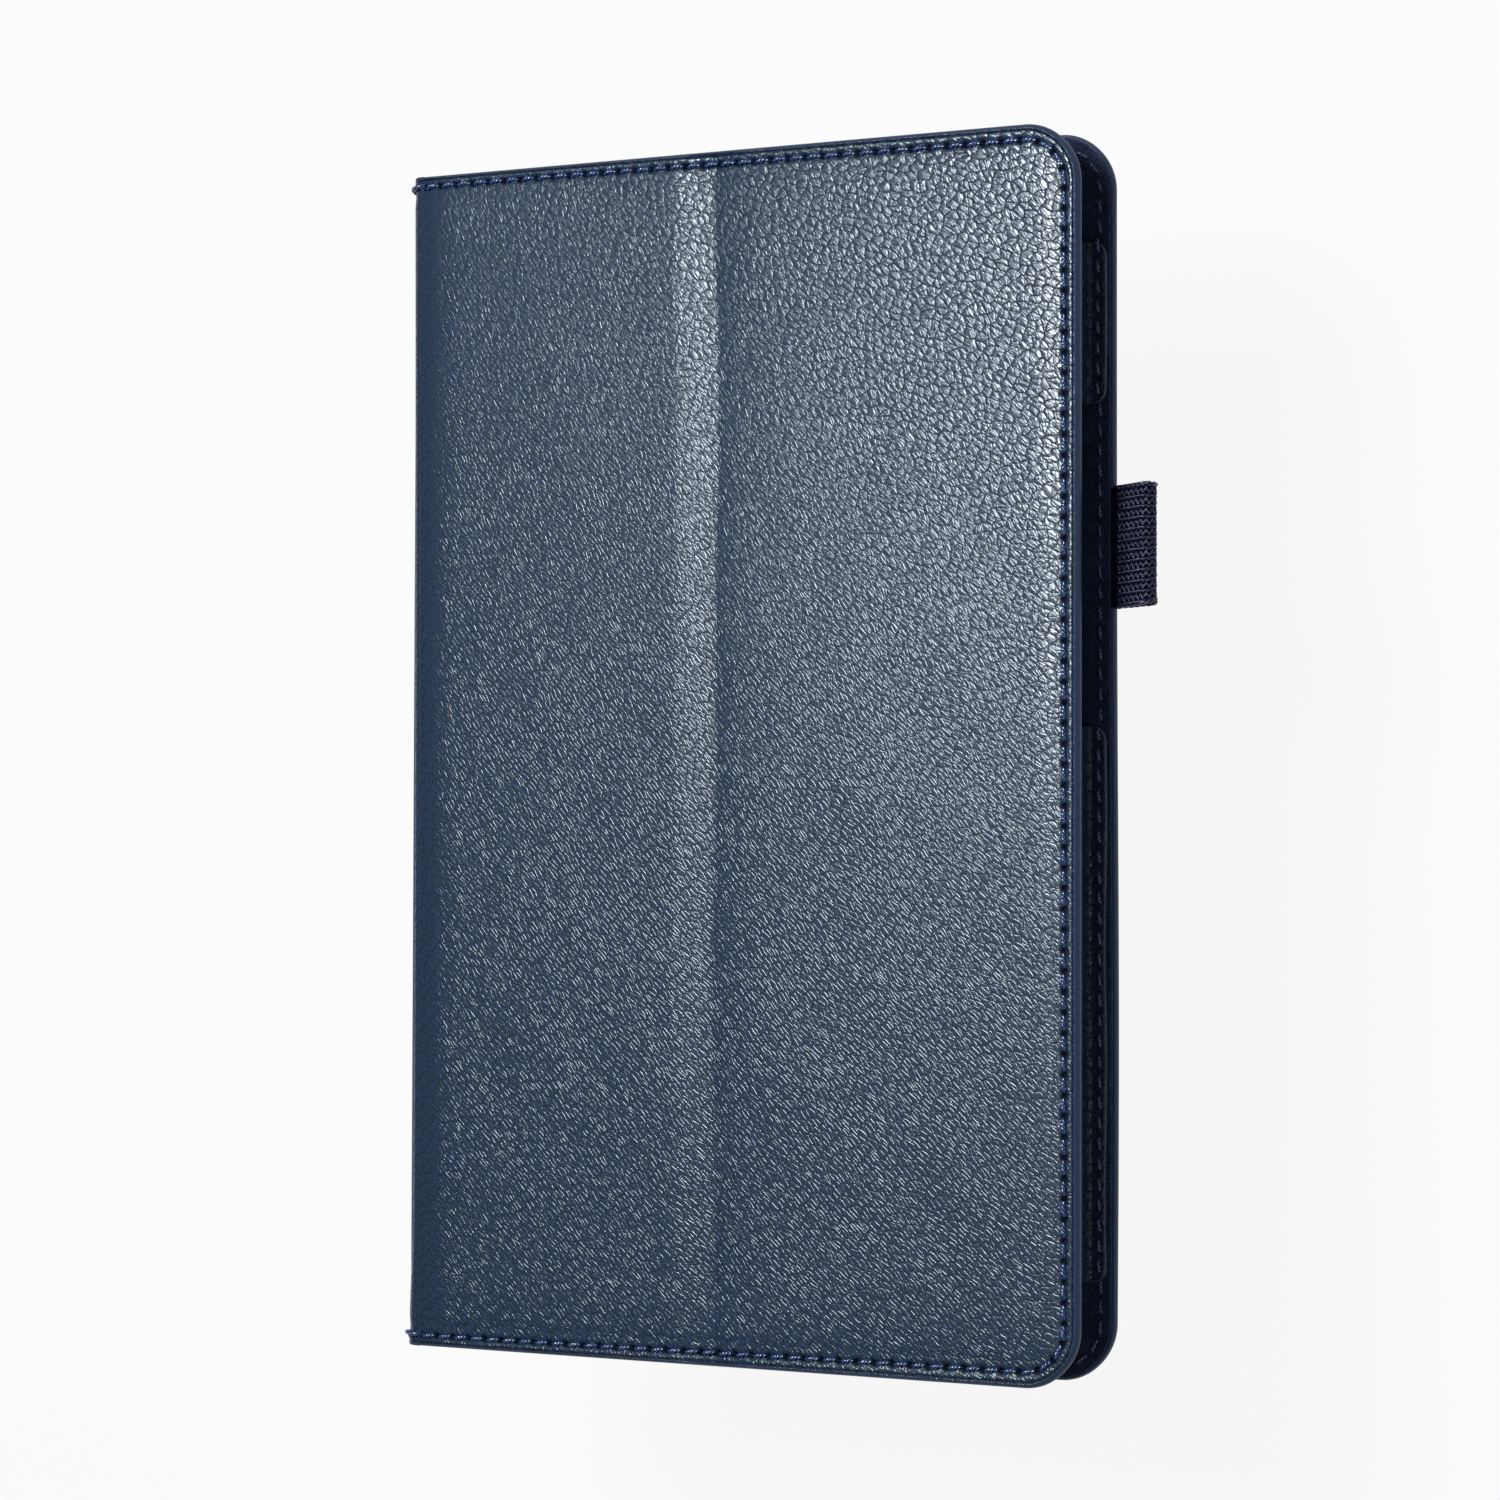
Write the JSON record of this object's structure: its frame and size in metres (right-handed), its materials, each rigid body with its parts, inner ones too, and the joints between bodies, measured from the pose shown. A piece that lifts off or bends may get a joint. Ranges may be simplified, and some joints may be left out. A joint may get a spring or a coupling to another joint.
{
  "type": "tablet folio case",
  "caption": "Closed leather folio case for a small tablet, with a folding front cover, a spine, a sewn pocket with a window frame and an elastic pen loop.",
  "frame": {"origin": "on the back cover's outer leather face, under the middle of the case's width and height, where the closed case rests", "axes": "+X from the spine to the fore edge, +Y to the top of the case, +Z out of the front cover"},
  "size_m": [0.148, 0.219, 0.016],
  "materials": {
    "leather": "navy coated leather with a pebbled grain, satin",
    "suede": "dark navy brushed microfibre",
    "board": "grey stiffening board",
    "elastic": "dark navy knitted elastic",
    "magnet": "plated disc"
  },
  "bodies": {
    "back_cover": {"back_skin": "leather", "back_board": "board", "back_lining": "suede", "pen_loop": "elastic", "pocket_bezel": "leather", "bezel_card": "board", "bezel_lining": "suede", "fore_wall_upper": "leather", "fore_wall_lower": "leather", "top_wall_left": "leather", "top_wall_right": "leather", "bottom_wall_left": "leather", "bottom_wall_right": "leather"},
    "pocket_flap": {"tuck_flap": "leather"},
    "spine": {"spine_skin": "leather", "spine_board": "board", "spine_lining": "suede", "spine_back_web": "leather", "spine_back_web_lining": "suede", "spine_front_web": "leather", "spine_front_web_lining": "suede"},
    "front_inner": {"front_inner_skin": "leather", "front_inner_board": "board", "front_inner_lining": "suede", "fold_web": "leather", "fold_web_lining": "suede"},
    "front_outer": {"front_outer_skin": "leather", "front_outer_board": "board", "front_outer_lining": "suede", "wake_magnet": "magnet"}
  },
  "joints": [
    {"name": "spine_back_fold", "type": "hinge", "parent": "back_cover", "child": "spine", "pos_m": [-0.06841, 0, 0.00159], "axis": [0, -1, 0], "range_deg": [0, 150], "deforming": ["spine_back_web", "spine_back_web_lining"]},
    {"name": "spine_front_fold", "type": "hinge", "parent": "spine", "child": "front_inner", "pos_m": [-0.06841, 0, 0.01441], "axis": [0, -1, 0], "range_deg": [0, 150], "deforming": ["spine_front_web", "spine_front_web_lining"]},
    {"name": "cover_mid_fold", "type": "hinge", "parent": "front_inner", "child": "front_outer", "pos_m": [-0.003, 0, 0.0163], "axis": [0, -1, 0], "range_deg": [0, 120], "deforming": ["fold_web", "fold_web_lining"]},
    {"name": "tuck_flap_fold", "type": "hinge", "parent": "back_cover", "child": "pocket_flap", "pos_m": [-0.0603, 0, 0.012], "axis": [0, 1, 0], "range_deg": [0, 90]}
  ]
}
